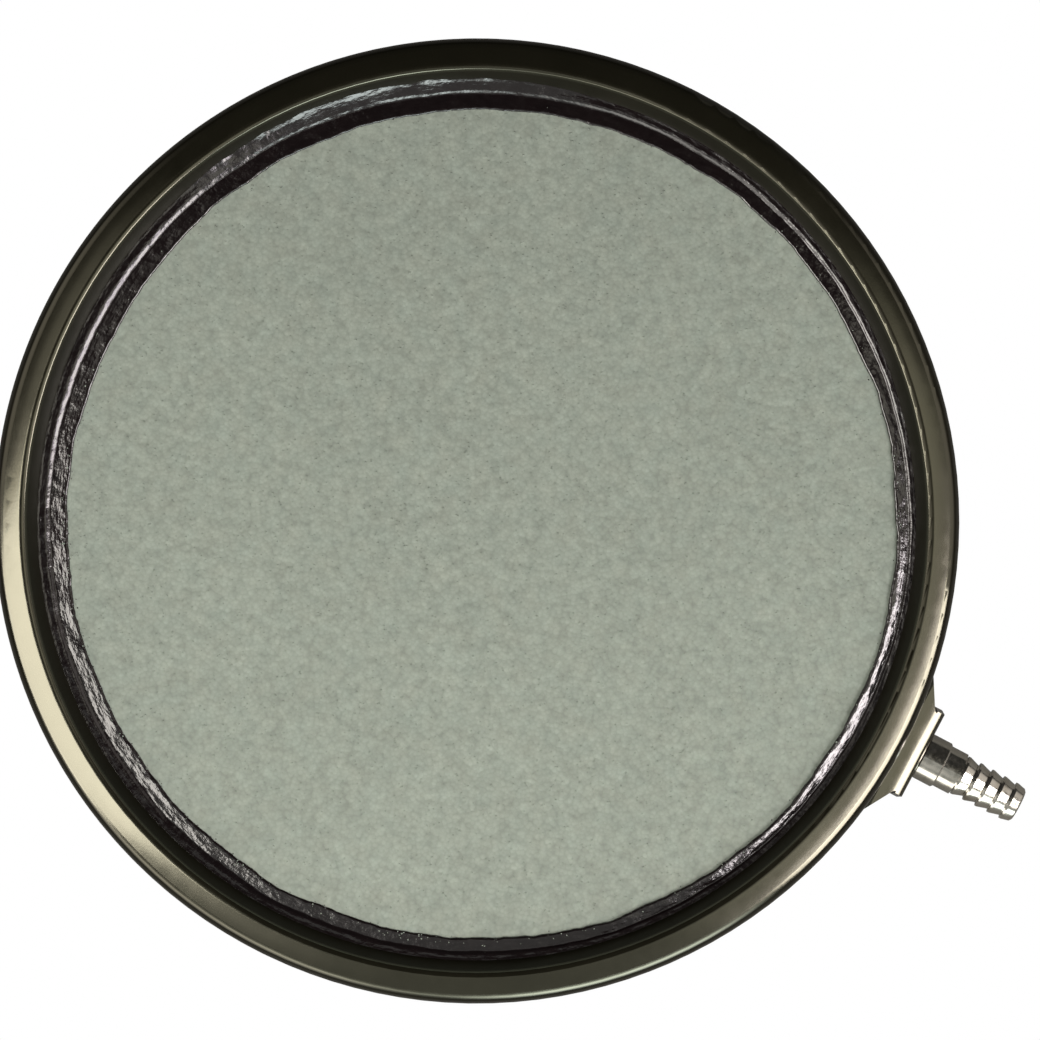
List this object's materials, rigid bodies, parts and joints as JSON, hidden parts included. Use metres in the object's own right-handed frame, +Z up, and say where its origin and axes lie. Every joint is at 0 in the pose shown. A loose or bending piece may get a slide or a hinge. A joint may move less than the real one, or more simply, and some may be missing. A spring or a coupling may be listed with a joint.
{
  "type": "air stone",
  "caption": "Round disc air stone: a porous mineral disc bonded into a shallow round plastic housing, with a ridged metal hose barb on its side.",
  "frame": {"origin": "centre of the housing's flat underside, on the disc's axis", "axes": "+Z up along the disc's axis, out of the porous face; +X along the hose barb, out of its tip"},
  "size_m": [0.2281, 0.2, 0.025],
  "materials": {
    "black_plastic": "moulded black, semi-gloss",
    "porous_stone": "matt fine-grained grey-green, porous",
    "black_resin": "glossy black, hand-laid bead",
    "plated_brass": "bright plated, turned",
    "seal_rubber": "smooth black"
  },
  "bodies": {
    "root": {"housing": "black_plastic", "stone_disc": "porous_stone", "edge_sealant": "black_resin", "hose_barb": "plated_brass", "barb_o_ring": "seal_rubber"}
  },
  "joints": []
}
